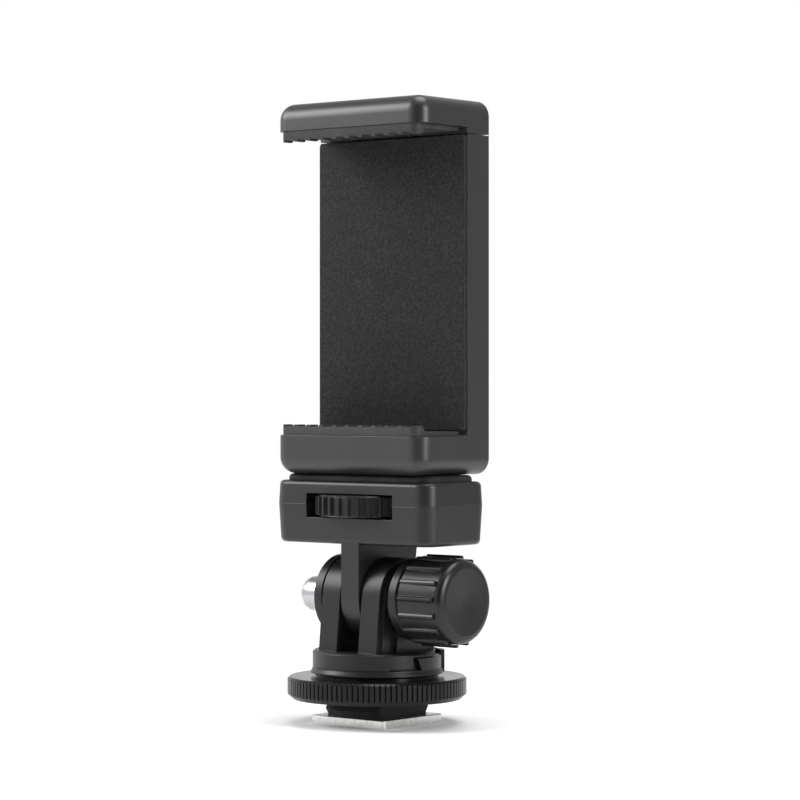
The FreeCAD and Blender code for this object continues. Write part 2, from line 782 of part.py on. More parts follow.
def make_tilt_knob():
    """Clamping knob: hub, ribbed side, rounded crown and dished end."""
    body = new_body("tilt_knob", "pivot_height")
    bore = "(nut_diameter / 2 + fit_clearance)"
    bore_end = f"{NUT_END} + wheel_clearance"
    side = "knob_diameter / 2"
    crown = "(knob_crown_diameter / 2 - knob_round)"
    revolve(
        body,
        [
            (HUB_START, bore),
            (HUB_START, "knob_hub_diameter / 2"),
            (KNOB_START, "knob_hub_diameter / 2"),
            (KNOB_START, side),
        ]
        + arc_points(f"{KNOB_END} - knob_round", crown, "knob_round", 90, 0)
        + [
            (f"{KNOB_END} - knob_dish", f"{crown} / 8"),
            (f"{KNOB_END} - knob_dish", "0"),
            (bore_end, "0"),
            (bore_end, bore),
        ],
        axis="x",
    )
    root, top = f"{side} - knob_rib_rise", f"{side} + knob_rib_rise"
    outline = rib_outline(root, top, "knob_rib_width", "knob_rib_turn")
    rib = pad(body, "x", outline, KNOB_START, f"{KNOB_END} - knob_rib_stop")
    polar(body, [rib], "X_Axis", "knob_ribs")
    return body


def make_knob_nut():
    """Threaded brass insert of the knob."""
    centre = ("0", "pivot_height")
    outside = rod("x", "nut_diameter", HUB_START, NUT_END, centre)
    thread = rod("x", "bolt_diameter + 2 * run_clearance", "0", f"{NUT_END} + 1", centre)
    return keep(cut(outside, thread), "knob_nut")


def head_slot():
    """Opening for the thumbwheel: a slot through the head and a round well in its middle."""
    low = f"{SLOT_MIDDLE} - slot_height / 2"
    high = f"{SLOT_MIDDLE} + slot_height / 2"
    half = "slot_width / 2"
    slot = box((f"-{half}", half), ("-head_front - 1", "head_back + 1"), (low, high))
    well = rod("z", "thumb_diameter + 2 * wheel_clearance", low, high)
    return fuse(slot, well)


def head_half(end):
    """Half of the head block, drafted from the parting plane to one end and rounded there."""
    across = ("-head_width / 2", "head_width / 2")
    deep = ("-head_front", "head_back")
    level = span(PARTING, end)
    inset = f"({level[1]} - {level[0]}) * tan(head_draft)"
    shares = []
    for axis, (low, high), reach in (("x", deep, across), ("y", across, deep)):
        prism = doc.addObject("PartDesign::Body", "Drafted")
        outline = [(low, PARTING), (high, PARTING), (f"{high} - {inset}", end), (f"{low} + {inset}", end)]
        pad(prism, axis, outline, *reach)
        shares.append(prism)
    block = rounded(common(*shares), "head_corner", along("z"))
    return rounded(block, "head_edge", at_level("z", end))


def head_screw_places():
    return [
        (f"{sx} * head_screw_across / 2", f"{sy} * head_screw_apart / 2 + (head_back - head_front) / 2")
        for sx in (-1, 1)
        for sy in (-1, 1)
    ]


def make_head_body():
    """Lower half of the head, in one with the tongue that tilts between the ears."""
    block = head_half(HEAD_BOTTOM)
    half = "tongue_thickness / 2"
    centre = ("0", "pivot_height")
    neck_top = f"{HEAD_BOTTOM} + 2 * head_edge"
    neck = doc.addObject("PartDesign::Body", "Neck")
    outline = [
        ("-tongue_radius", "pivot_height"),
        ("tongue_radius", "pivot_height"),
        ("tongue_back", HEAD_BOTTOM),
        ("tongue_back", neck_top),
        ("-tongue_radius", neck_top),
    ]
    pad(neck, "x", outline, f"-{half}", half)
    round_end = rod("x", "2 * tongue_radius", f"-{half}", half, centre)
    boss_half = "(ear_gap / 2 - run_clearance)"
    boss = rod("x", "tongue_boss", f"-{boss_half}", boss_half, centre)
    hole = rod("x", "bolt_diameter + 2 * run_clearance", "-ear_gap", "ear_gap", centre)
    slot_low = f"{SLOT_MIDDLE} - slot_height / 2"
    socket_depth = "thumb_pivot_length + 0.3"
    socket = rod(
        "z", "thumb_pivot_diameter + 2 * run_clearance", f"{slot_low} - ({socket_depth})", f"{slot_low} + 1"
    )
    tools = [head_slot(), hole, socket]
    for place in head_screw_places():
        sink = "head_screw_head + 2 * run_clearance"
        tools.append(rod("z", sink, f"{HEAD_BOTTOM} - 1", HEAD_SEAT, place))
        shank = "head_screw_shank + 2 * fit_clearance"
        tools.append(rod("z", shank, HEAD_BOTTOM, f"{PARTING} + 1", place))
    return keep(cut(fuse(block, neck, round_end, boss), *tools), "head_body")


def make_head_cap():
    """Upper half of the head, with the bore for the mounting screw."""
    block = head_half(HEAD_TOP)
    bore = rod("z", "screw_diameter + 2 * wheel_clearance", PARTING, f"{HEAD_TOP} + 1")
    tools = [head_slot(), bore]
    screw_top = f"{HEAD_SEAT} + head_screw_length + 0.3"
    for place in head_screw_places():
        shank = "head_screw_shank + 2 * fit_clearance"
        tools.append(rod("z", shank, f"{PARTING} - 1", screw_top, place))
    return keep(cut(block, *tools), "head_cap")


def make_head_screws():
    """Four screws that close the head block from below."""
    screws = []
    seat = f"({HEAD_SEAT} - fit_clearance)"
    for place in head_screw_places():
        tip = f"{seat} + head_screw_length"
        top = f"{seat} - head_screw_head_height"
        screws.append(screw("z", tip, seat, top, "head_screw_head", "head_screw_shank", place))
    return keep(group(*screws), "head_screws")


def make_head_pad():
    """Rubber pad under the clamp, bevelled round its top."""
    body = new_body("head_pad")
    half = "head_width / 2 - head_pad_inset"
    front = "-head_front + head_pad_inset"
    back = "head_back - head_pad_inset"
    pad(body, "z", rectangle(f"-({half})", half, front, back), HEAD_TOP, HEAD_PAD_TOP)
    fillet(body, "head_corner - head_pad_inset / 2", along("z"))
    chamfer(body, "head_pad_bevel", at_level("z", HEAD_PAD_TOP))
    bore = "screw_diameter + 2 * wheel_clearance"
    pocket_round(body, "z", [("0", "0", bore)], HEAD_TOP, HEAD_PAD_TOP)
    return body


def make_thumbwheel():
    """Ribbed wheel that turns the mounting screw, on a short pivot."""
    body = new_body("thumbwheel")
    low = f"({SLOT_MIDDLE} - thumb_height / 2)"
    high = f"({SLOT_MIDDLE} + thumb_height / 2)"
    core = "(thumb_diameter / 2 - thumb_rib_rise)"
    revolve(
        body,
        [
            ("0", f"{low} - thumb_pivot_length"),
            ("thumb_pivot_diameter / 2", f"{low} - thumb_pivot_length"),
            ("thumb_pivot_diameter / 2", low),
            (f"{core} - 0.3", low),
            (core, f"{low} + 0.3"),
            (core, f"{high} - 0.3"),
            (f"{core} - 0.3", high),
            ("0", high),
        ],
    )
    outline = rib_outline(f"{core} - thumb_rib_rise", "thumb_diameter / 2", "thumb_rib_width")
    rib = pad(body, "z", outline, f"{low} + 0.3", f"{high} - 0.3")
    polar(body, [rib], "Z_Axis", "thumb_ribs")
    corner = "(screw_hexagon / 2 + fit_clearance)"
    nest = [(f"{corner} / cos(30) * cos({60 * k})", f"{corner} / cos(30) * sin({60 * k})") for k in range(6)]
    pocket(body, "z", nest, f"{high} - screw_hexagon_height", high)
    return body


def make_mount_screw():
    """Threaded stud with a hexagon collar that sits in the thumbwheel."""
    top = f"({SLOT_MIDDLE} + thumb_height / 2)"
    collar = hexagon("screw_hexagon", f"{top} - screw_hexagon_height + fit_clearance", top)
    tip = f"({HEAD_PAD_TOP} + screw_rise)"
    shank = rod("z", "screw_diameter", top, f"{tip} - 0.7")
    end = cone("z", "screw_diameter", "screw_diameter - 1.4", f"{tip} - 0.7", tip)
    return keep(fuse(collar, shank, end), "mount_screw")


def clamp_block(low, high, end):
    """Block with the clamp's outline: large rounds in front and on one end's rim, square at the back."""
    half = "clamp_width / 2"
    solid = box((f"-{half}", half), ("-clamp_front", "clamp_back"), (low, high))
    upright, rim, back = along("z"), at_level("z", end), at_level("y", "clamp_back")
    return rounded(solid, "clamp_round", lambda edge: (upright(edge) or rim(edge)) and not back(edge))


def cover_screw_places():
    across = "cover_width / 2 - cover_screw_inset"
    low = f"{CHANNEL_BOTTOM} - 1 + cover_screw_inset"
    high = f"{COVER_TOP} - cover_screw_inset"
    return [(f"{side} * ({across})", level) for side in (-1, 1) for level in (low, high)]


def make_clamp_body():
    """Lower jaw and post in one moulding, with the spring chamber open at the back."""
    outside = clamp_block(CLAMP_BOTTOM, POST_TOP, CLAMP_BOTTOM)
    far = ("-clamp_width", "clamp_width")
    phone_side = box(far, ("-clamp_front - 1", POST_FRONT), (JAW_TOP, f"{POST_TOP} + 1"))
    half = "channel_width / 2"
    channel = box((f"-{half}", half), (CHANNEL_FRONT, "clamp_back + 1"), (CHANNEL_BOTTOM, f"{POST_TOP} + 1"))
    cover_half = "(cover_width / 2 + run_clearance)"
    recess = box(
        (f"-{cover_half}", cover_half),
        (CHANNEL_BACK, "clamp_back + 1"),
        (f"{CHANNEL_BOTTOM} - 1 - run_clearance", f"{COVER_TOP} + run_clearance"),
    )
    insert = "insert_diameter + 2 * fit_clearance"
    thread_well = rod("z", insert, f"{CLAMP_BOTTOM} - 1", f"{CLAMP_BOTTOM} + insert_length + 0.2")
    tools = [phone_side, channel, recess, thread_well]
    for x, z in cover_screw_places():
        shank = "cover_screw_shank + 2 * fit_clearance"
        tools.append(rod("y", shank, f"{CHANNEL_BACK} - cover_screw_length", "clamp_back", (x, z)))
    for side in (-1, 1):
        place = (f"{side} * spring_apart / 2", PIN_LEVEL)
        pin_hole = "pin_diameter + 2 * fit_clearance"
        tools.append(rod("y", pin_hole, f"{CHANNEL_FRONT} - 0.8", CHANNEL_BACK, place))
    return keep(cut(outside, *tools), "clamp_body")


def make_thread_insert():
    """Brass thread in the clamp's foot, for the mounting screw."""
    outside = rod("z", "insert_diameter", CLAMP_BOTTOM, f"{CLAMP_BOTTOM} + insert_length")
    thread = rod("z", "screw_diameter + 2 * run_clearance", f"{CLAMP_BOTTOM} - 1", f"{JAW_TOP}")
    return keep(cut(outside, thread), "thread_insert")


def make_back_cover():
    """Flat cover of the spring chamber, flush with the back of the post."""
    body = new_body("back_cover")
    half = "cover_width / 2"
    low = f"({CHANNEL_BOTTOM} - 1)"
    pad(body, "y", rectangle(f"-{half}", half, low, COVER_TOP), CHANNEL_BACK, "clamp_back")
    fillet(body, "cover_corner", along("y"))
    shank = "cover_screw_shank + 2 * run_clearance"
    pocket_round(body, "y", [(x, z, shank) for x, z in cover_screw_places()], CHANNEL_BACK, "clamp_back")
    sink = "cover_screw_head + 2 * run_clearance"
    floor = "clamp_back - cover_screw_sink"
    pocket_round(body, "y", [(x, z, sink) for x, z in cover_screw_places()], floor, "clamp_back")
    return body


def make_cover_screws():
    """Four small screws, sunk in the cover."""
    screws = []
    seat = "(clamp_back - cover_screw_sink + fit_clearance)"
    top = f"{seat} + cover_screw_head_height"
    for place in cover_screw_places():
        tip = f"{seat} - cover_screw_length + 0.6"
        screws.append(screw("y", tip, seat, top, "cover_screw_head", "cover_screw_shank", place))
    return keep(group(*screws), "cover_screws")


def slider_screw_places():
    level = f"{UPPER_LEG} + slider_socket / 2"
    return [(f"{side} * slider_screw_apart / 2", level) for side in (-1, 1)]


def make_upper_jaw():
    """Sprung jaw with a short leg that meets the post and a socket for the slider."""
    outside = clamp_block(UPPER_LEG, UPPER_TOP, UPPER_TOP)
    far = ("-clamp_width", "clamp_width")
    phone_side = box(far, ("-clamp_front - 1", POST_FRONT), (f"{UPPER_LEG} - 1", UPPER_BOTTOM))
    half = "(channel_width / 2 - run_clearance + fit_clearance)"
    back = f"{CHANNEL_FRONT} + run_clearance + slider_thickness + fit_clearance"
    socket = box(
        (f"-{half}", half),
        (f"{CHANNEL_FRONT} + run_clearance - fit_clearance", back),
        (f"{UPPER_LEG} - 1", f"{SLIDER_TOP} + fit_clearance"),
    )
    tools = [phone_side, socket]
    for place in slider_screw_places():
        tools.append(rod("y", "cover_screw_shank + 2 * run_clearance", CHANNEL_FRONT, "clamp_back", place))
        sink = "cover_screw_head + 2 * run_clearance"
        tools.append(rod("y", sink, "clamp_back - cover_screw_sink", "clamp_back + 1", place))
    return keep(cut(outside, *tools), "upper_jaw")


def make_jaw_slider():
    """Plate that guides the upper jaw in the post: a thin web between two thick rails."""
    body = new_body("jaw_slider")
    half = "(channel_width / 2 - run_clearance)"
    front = f"({CHANNEL_FRONT} + run_clearance)"
    back = f"({front} + slider_thickness)"
    pad(body, "z", rectangle(f"-{half}", half, front, back), SLIDER_BOTTOM, SLIDER_TOP)
    inner = f"({half} - slider_rail)"
    web_back = f"{front} + slider_web"
    low = f"{SLIDER_BOTTOM} + slider_rail"
    pocket(body, "z", rectangle(f"-{inner}", inner, web_back, back), low, f"{UPPER_LEG} - 1")
    shank = "cover_screw_shank + 2 * fit_clearance"
    pocket_round(body, "y", [(x, z, shank) for x, z in slider_screw_places()], front, back)
    return body


def make_slider_screws():
    """Two screws from the back that hold the slider in the upper jaw."""
    screws = []
    seat = "(clamp_back - cover_screw_sink + fit_clearance)"
    top = f"{seat} + cover_screw_head_height"
    for place in slider_screw_places():
        tip = f"{CHANNEL_FRONT} + 0.5"
        screws.append(screw("y", tip, seat, top, "cover_screw_head", "cover_screw_shank", place))
    return keep(group(*screws), "slider_screws")


def make_spring_pins():
    """Pins across the chamber that anchor the springs."""
    pins = []
    for side in (-1, 1):
        place = (f"{side} * spring_apart / 2", PIN_LEVEL)
        back = f"{CHANNEL_BACK} - run_clearance"
        pins.append(rod("y", "pin_diameter", f"{CHANNEL_FRONT} - 0.7", back, place))
    return keep(group(*pins), "spring_pins")


def make_clamp_springs():
    """Two close-wound extension springs, each drawn as the tube that its coils fill."""
    springs = []
    low = f"({PIN_LEVEL} + pin_diameter / 2 + fit_clearance)"
    high = f"({SLIDER_BOTTOM} - wheel_clearance)"
    for side in (-1, 1):
        place = (f"{side} * spring_apart / 2", SPRING_Y)
        outside = rod("z", "spring_diameter", low, high, place)
        inside = rod("z", "spring_diameter - 2 * spring_wire", low, high, place)
        springs.append(cut(outside, inside))
    return keep(group(*springs), "clamp_springs")


def make_jaw_pad(label, face, up):
    """Rubber jaw lining: thin base and a lip along the front with a row of bumps."""
    body = new_body(label)
    half = "(clamp_width / 2 - jaw_pad_side_inset)"
    front = "(jaw_pad_front_inset - clamp_front)"
    back = f"({POST_FRONT} - back_pad_thickness - run_clearance)"
    lip_back = f"({front} + jaw_pad_lip_depth)"
    sign = 1 if up else -1
    root = f"{face} + {sign} * jaw_pad_base / 2"
    valley = f"{face} + {sign} * (jaw_pad_lip - bump_height)"
    crest = f"{face} + {sign} * jaw_pad_lip"
    pad(body, "z", rectangle(f"-{half}", half, front, back), *span(face, f"{face} + {sign} * jaw_pad_base"))
    pad(body, "z", rectangle(f"-{half}", half, front, lip_back), *span(root, valley))
    fillet(body, "jaw_pad_corner", along("z"), lambda edge: edge.BoundBox.YMax < value(front) + NEAR)
    first = f"(-{half} + bump_margin + bump_width / 2)"
    bump = [
        (f"{first} - bump_width / 2", root),
        (f"{first} - bump_width / 2", valley),
        (f"{first} - bump_width / 4", crest),
        (f"{first} + bump_width / 4", crest),
        (f"{first} + bump_width / 2", valley),
        (f"{first} + bump_width / 2", root),
    ]
    single = pad(body, "y", bump, f"{front} + bump_inset", lip_back)
    row = body.newObject("PartDesign::LinearPattern", "Bumps")
    row.Originals = [single]
    row.Direction = (origin_item(body, "X_Axis"), [""])
    bind(row, "Length", f"-2 * {first}")
    bind(row, "Occurrences", "bump_count")
    body.Tip = row
    return body


def make_back_pad():
    """Foam sheet that the back of the phone rests on."""
    body = new_body("back_pad")
    half = "back_pad_width / 2"
    low = f"{JAW_TOP} + jaw_pad_base + run_clearance"
    high = f"{POST_TOP} - run_clearance"
    pad(body, "y", rectangle(f"-{half}", half, low, high), f"{POST_FRONT} - back_pad_thickness", POST_FRONT)
    fillet(body, "back_pad_corner", along("y"))
    return body


def check_document():
    """Stop if any object failed or any sub-part has no valid solid."""
    for item in doc.Objects:
        if {"Invalid", "Error"} & set(item.State):
            raise RuntimeError(f"{item.Name} ({item.Label}) failed: {item.State}")
    for item in subparts:
        if item.Shape.isNull() or not item.Shape.isValid() or not item.Shape.Solids:
            raise RuntimeError(f"{item.Label} has no valid solid")


def main():
    make_shoe_plate()
    make_foot_screws()
    make_foot_stem()
    make_lock_wheel()
    make_yoke()
    make_lock_ring()
    make_pan_screw()
    make_pivot_bolt()
    make_knob_collar()
    make_tilt_knob()
    make_knob_nut()
    make_head_body()
    make_head_cap()
    make_head_screws()
    make_head_pad()
    make_thumbwheel()
    make_mount_screw()
    make_clamp_body()
    make_thread_insert()
    make_back_cover()
    make_cover_screws()
    make_upper_jaw()
    make_jaw_slider()
    make_slider_screws()
    make_spring_pins()
    make_clamp_springs()
    make_jaw_pad("lower_jaw_pad", JAW_TOP, True)
    make_jaw_pad("upper_jaw_pad", UPPER_BOTTOM, False)
    make_back_pad()
    doc.recompute()
    check_document()
    os.makedirs("parts", exist_ok=True)
    for item in subparts:
        item.Shape.exportStep(f"parts/{item.Label}.step")
        bounds = item.Shape.BoundBox
        print(
            f"{item.Label:16s} solids {len(item.Shape.Solids)} volume {item.Shape.Volume:9.1f}"
            f"  x {bounds.XMin:7.2f} {bounds.XMax:7.2f}  y {bounds.YMin:7.2f} {bounds.YMax:7.2f}"
            f"  z {bounds.ZMin:7.2f} {bounds.ZMax:7.2f}"
        )


main()
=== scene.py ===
import logging
import math
from contextlib import contextmanager
from dataclasses import dataclass, field
from enum import Enum
from typing import Callable, ClassVar, Iterator, Mapping, Protocol

import bmesh
import bpy
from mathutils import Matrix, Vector


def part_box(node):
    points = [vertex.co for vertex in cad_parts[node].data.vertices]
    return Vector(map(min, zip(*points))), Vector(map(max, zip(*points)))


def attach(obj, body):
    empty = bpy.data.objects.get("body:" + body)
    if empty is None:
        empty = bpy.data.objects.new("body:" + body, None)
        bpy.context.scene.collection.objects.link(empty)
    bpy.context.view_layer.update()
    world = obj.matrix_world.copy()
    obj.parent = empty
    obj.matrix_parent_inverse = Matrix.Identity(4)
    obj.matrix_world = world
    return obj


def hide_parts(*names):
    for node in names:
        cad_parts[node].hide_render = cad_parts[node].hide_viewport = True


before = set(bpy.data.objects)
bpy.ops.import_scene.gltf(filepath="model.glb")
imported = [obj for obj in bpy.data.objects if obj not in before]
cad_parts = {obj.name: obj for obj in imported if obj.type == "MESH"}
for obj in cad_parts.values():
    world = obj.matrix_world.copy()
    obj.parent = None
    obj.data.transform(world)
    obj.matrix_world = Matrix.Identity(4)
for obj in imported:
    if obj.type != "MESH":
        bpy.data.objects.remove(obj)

log = logging.getLogger("phone_mount")
MM = 0.001
Colour = tuple[float, float, float]
Point = tuple[float, float, float]
Test = Callable[[Vector, Vector], bool]
UNSTRETCHED: Point = (1.0, 1.0, 1.0)


# Shader graph

# The bevel node's samples, and how far its normal turns on a flat and on an edge: one less the
# cosine between it and the true normal.
EDGE_SAMPLES = 6
FLAT_TURN = 0.01
EDGE_TURN = 0.12


@dataclass(frozen=True)
class Signal:
    """A number, colour or vector that a shader node gives out."""

    graph: "Graph"
    socket: bpy.types.NodeSocket

    def _maths(self, operation: str, first: "Signal | float", second: "Signal | float") -> "Signal":
        """Joins two numbers by one Math node."""
        return self.graph.add("ShaderNodeMath", {"operation": operation}, {0: first, 1: second})

    def __add__(self, other: "Signal | float") -> "Signal":
        """This plus the other."""
        return self._maths("ADD", self, other)

    def __radd__(self, other: float) -> "Signal":
        """The other plus this."""
        return self._maths("ADD", other, self)

    def __sub__(self, other: "Signal | float") -> "Signal":
        """This less the other."""
        return self._maths("SUBTRACT", self, other)

    def __rsub__(self, other: float) -> "Signal":
        """The other less this."""
        return self._maths("SUBTRACT", other, self)

    def __mul__(self, other: "Signal | float") -> "Signal":
        """This times the other."""
        return self._maths("MULTIPLY", self, other)

    def __rmul__(self, other: float) -> "Signal":
        """The other times this."""
        return self._maths("MULTIPLY", other, self)

    def between(self, low: float, high: float) -> "Signal":
        """Nought at the low value, one at the high value, and smooth in between."""
        sockets = {0: self, 1: low, 2: high, 3: 0.0, 4: 1.0}
        return self.graph.add("ShaderNodeMapRange", {"interpolation_type": "SMOOTHSTEP"}, sockets)


class Graph:
    """The shader nodes of a material or of the world."""

    def __init__(self, tree: bpy.types.NodeTree) -> None:
        """Takes the tree that new nodes go into."""
        self.tree = tree

    def add(
        self,
        kind: str,
        settings: Mapping[str, object] | None = None,
        sockets: Mapping[int | str, object] | None = None,
        output: int | str = 0,
    ) -> Signal:
        """Adds a node.

        Args:
            kind: the node's type.
            settings: its own settings, set first.
            sockets: values or signals by the socket's number or name.
            output: which of its outputs is wanted.

        Returns:
            The signal of that output.
        """
        node = self.tree.nodes.new(kind)
        for name, setting in (settings or {}).items():
            setattr(node, name, setting)
        for name, value in (sockets or {}).items():
            self.feed(node, name, value)
        return Signal(self, node.outputs[output])

    def feed(self, node: bpy.types.Node, name: int | str, value: object) -> None:
        """Gives a socket its value, or links a signal to it."""
        if isinstance(value, Signal):
            self.tree.links.new(value.socket, node.inputs[name])
        elif isinstance(value, tuple) and node.inputs[name].type == "RGBA":
            node.inputs[name].default_value = (*value, 1.0)
        else:
            node.inputs[name].default_value = value

    def place(self, scale: Point = UNSTRETCHED) -> Signal:
        """Object coordinates; a small scale draws a texture out along that axis."""
        spot = self.add("ShaderNodeTexCoord", output="Object")
        if scale == UNSTRETCHED:
            return spot
        return self.add("ShaderNodeMapping", sockets={"Vector": spot, "Scale": scale})

    def noise(
        self, size_mm: float, detail: float = 2.0, rough: float = 0.5, scale: Point = UNSTRETCHED
    ) -> Signal:
        """Adds soft noise.

        Args:
            size_mm: about how wide its features are.
            detail: how many finer layers it has.
            rough: how strong the finer layers are.
            scale: as place() takes it.

        Returns:
            The noise, from nought to one.
        """
        sockets = {
            "Vector": self.place(scale),
            "Scale": 1.0 / (size_mm * MM),
            "Detail": detail,
            "Roughness": rough,
        }
        return self.add("ShaderNodeTexNoise", sockets=sockets)

    def cells(self, size_mm: float) -> Signal:
        """Distance to the nearest of many scattered points, about that size apart."""
        sockets = {"Vector": self.place(), "Scale": 1.0 / (size_mm * MM)}
        return self.add("ShaderNodeTexVoronoi", sockets=sockets)

    def dot(self, first: Signal, second: Signal | Point) -> Signal:
        """Dot product of two vectors."""
        settings = {"operation": "DOT_PRODUCT"}
        return self.add("ShaderNodeVectorMath", settings, {0: first, 1: second}, output="Value")

    def blend(self, share: Signal, first: Colour, second: Colour) -> Signal:
        """Colour between two colours."""
        settings = {"data_type": "RGBA"}
        return self.add("ShaderNodeMix", settings, {0: share, 6: first, 7: second}, output=2)

    def soft_edges(self, radius_mm: float) -> Signal:
        """Normal that rounds sharp edges by that radius."""
        return self.add("ShaderNodeBevel", {"samples": EDGE_SAMPLES}, {"Radius": radius_mm * MM})

    def edge_share(self, rounded: Signal) -> Signal:
        """One where the rounded normal leaves the true one, nought on flats."""
        true = self.add("ShaderNodeNewGeometry", output="Normal")
        return (1.0 - self.dot(rounded, true)).between(FLAT_TURN, EDGE_TURN)

    def bump(
        self, height: Signal, depth_mm: float, strength: float, over: Signal | None = None
    ) -> Signal:
        """Adds a fine relief.

        Args:
            height: the relief's height, from nought to about one.
            depth_mm: how deep a height of one is.
            strength: how much of the relief shows.
            over: the normal that it lies on, if not the surface's own.

        Returns:
            The relief's normal.
        """
        sockets: dict[int | str, object] = {
            "Height": height,
            "Distance": depth_mm * MM,
            "Strength": strength,
        }
        if over is not None:
            sockets["Normal"] = over
        return self.add("ShaderNodeBump", sockets=sockets)


class Skin(Graph):
    """The nodes of one material, with its Principled shader."""

    def __init__(self, name: str) -> None:
        """Makes an empty material of that name."""
        self.material = bpy.data.materials.new(name)
        self.material.use_nodes = True
        super().__init__(self.material.node_tree)
        self.surface = self.tree.nodes["Principled BSDF"]

    def shade(self, **inputs: object) -> bpy.types.Material:
        """Feeds the Principled shader.

        Args:
            **inputs: values or signals by the socket's name, an underscore for each space.

        Returns:
            The finished material.
        """
        for name, value in inputs.items():
            self.feed(self.surface, name.replace("_", " "), value)
        return self.material


# Finishes


class Gloss(Enum):
    """How shiny a moulding is, as its base roughness."""

    MATT = 0.60
    SATIN = 0.38
    SEMI_GLOSS = 0.30
    POLISHED = 0.20


class Finish(Protocol):
    """Anything that can make a material."""

    name: str

    def material(self) -> bpy.types.Material:
        """The finish as a material."""


@dataclass(frozen=True)
class MouldedPlastic:
    """Black moulded plastic: spark-eroded grain, faint clouding, edges rubbed smoother and lighter,
    the lighter edges partly rubbed wear and partly a painted highlight.
    """

    name: str
    tone: Colour = (0.020, 0.020, 0.021)
    gloss: Gloss = Gloss.SATIN
    specular: float = 0.5
    grain_mm: float = 0.16
    grain_depth_mm: float = 0.012
    grain_strength: float = 0.55
    edge_mm: float = 0.16
    rubbed: float = 0.10
    cloud_mm: float = 9.0
    streak_mm: float = 2.2
    upright: Point = (1.0, 1.0, 0.18)
    lightening: float = 1.45

    def material(self) -> bpy.types.Material:
        """The finish as a material."""
        graph = Skin(self.name)
        cloud = graph.noise(self.cloud_mm, detail=3.0)
        grain = graph.noise(self.grain_mm, detail=3.0, rough=0.6)
        streak = graph.noise(self.streak_mm, detail=4.0, scale=self.upright)
        rounded = graph.soft_edges(self.edge_mm)
        edge = graph.edge_share(rounded)
        # Lighter colour for the clouding and streaks, and for the edges, where it is partly rubbed
        # wear and partly a painted highlight.
        lighter_mottle_and_edge_highlight: Colour = tuple(self.lightening * part for part in self.tone)
        share = 0.55 * cloud + 0.25 * streak + 0.45 * edge * cloud
        rough = self.gloss.value + 0.10 * (cloud - 0.5) + 0.10 * (grain - 0.5) - self.rubbed * edge
        return graph.shade(
            Base_Color=graph.blend(share, self.tone, lighter_mottle_and_edge_highlight),
            Roughness=rough,
            Specular_IOR_Level=self.specular,
            Normal=graph.bump(grain, self.grain_depth_mm, self.grain_strength, over=rounded),
        )


@dataclass(frozen=True)
class Foam:
    """Dark closed-cell foam sheet: pale flecks, small open cells on its skin."""

    name: str
    tone: Colour = (0.009, 0.009, 0.010)
    fleck: Colour = (0.046, 0.046, 0.048)
    cell_mm: float = 0.32
    grain_mm: float = 0.38
    broad_mm: float = 14.0
    relief_mm: float = 0.08

    def material(self) -> bpy.types.Material:
        """The finish as a material."""
        graph = Skin(self.name)
        cell = graph.cells(self.cell_mm)
        grain = graph.noise(self.grain_mm, detail=5.0, rough=0.8)
        broad = graph.noise(self.broad_mm, detail=2.0)
        flecks = grain.between(0.40, 0.68) * (0.5 + 0.7 * broad)
        height = 0.4 * cell + 0.7 * grain + 2.5 * broad
        return graph.shade(
            Base_Color=graph.blend(flecks, self.tone, self.fleck),
            Roughness=0.82 + 0.18 * grain,
            Specular_IOR_Level=0.28,
            Sheen_Weight=0.10,
            Sheen_Roughness=0.5,
            Normal=graph.bump(height, self.relief_mm, 0.9),
        )


@dataclass(frozen=True)
class Rubber:
    """Moulded black rubber: dry surface with a powdery bloom."""

    name: str
    tone: Colour = (0.018, 0.018, 0.019)
    bloom: Colour = (0.034, 0.034, 0.035)
    specular: float = 0.60
    edge_mm: float = 0.15
    fine_mm: float = 0.13
    broad_mm: float = 5.0
    relief_mm: float = 0.010

    def material(self) -> bpy.types.Material:
        """The finish as a material."""
        graph = Skin(self.name)
        fine = graph.noise(self.fine_mm, detail=3.0, rough=0.6)
        broad = graph.noise(self.broad_mm, detail=4.0)
        rounded = graph.soft_edges(self.edge_mm)
        dusty = broad.between(0.42, 0.75) * (0.5 + fine)
        return graph.shade(
            Base_Color=graph.blend(dusty, self.tone, self.bloom),
            Roughness=0.62 + 0.12 * fine,
            Specular_IOR_Level=self.specular,
            Normal=graph.bump(fine, self.relief_mm, 0.7, over=rounded),
        )


@dataclass(frozen=True)
class BrushedPlate:
    """Nickel-plated sheet steel: brush marks along X, upright marks on its sheared edges."""

    name: str
    tone: Colour = (0.86, 0.85, 0.83)
    dull: Colour = (0.62, 0.61, 0.60)
    mark_mm: float = 0.05
    shear_mm: float = 0.30
    cloud_mm: float = 4.0
    along: Point = (0.02, 1.0, 1.0)
    upright: Point = (1.0, 1.0, 0.12)
    edge_mm: float = 0.12
    relief_mm: float = 0.006

    def material(self) -> bpy.types.Material:
        """The finish as a material."""
        graph = Skin(self.name)
        marks = graph.noise(self.mark_mm, detail=5.0, rough=0.7, scale=self.along)
        sheared = graph.noise(self.shear_mm, detail=4.0, rough=0.75, scale=self.upright)
        clouds = graph.noise(self.cloud_mm, detail=4.0)
        rounded = graph.soft_edges(self.edge_mm)
        worn = sheared.between(0.42, 0.70)
        return graph.shade(
            Base_Color=graph.blend(0.4 * clouds + 0.2 * marks + 0.6 * worn, self.tone, self.dull),
            Metallic=1.0,
            Roughness=0.20 + 0.14 * marks + 0.14 * worn,
            Normal=graph.bump(marks + 1.5 * sheared, self.relief_mm, 0.7, over=rounded),
        )


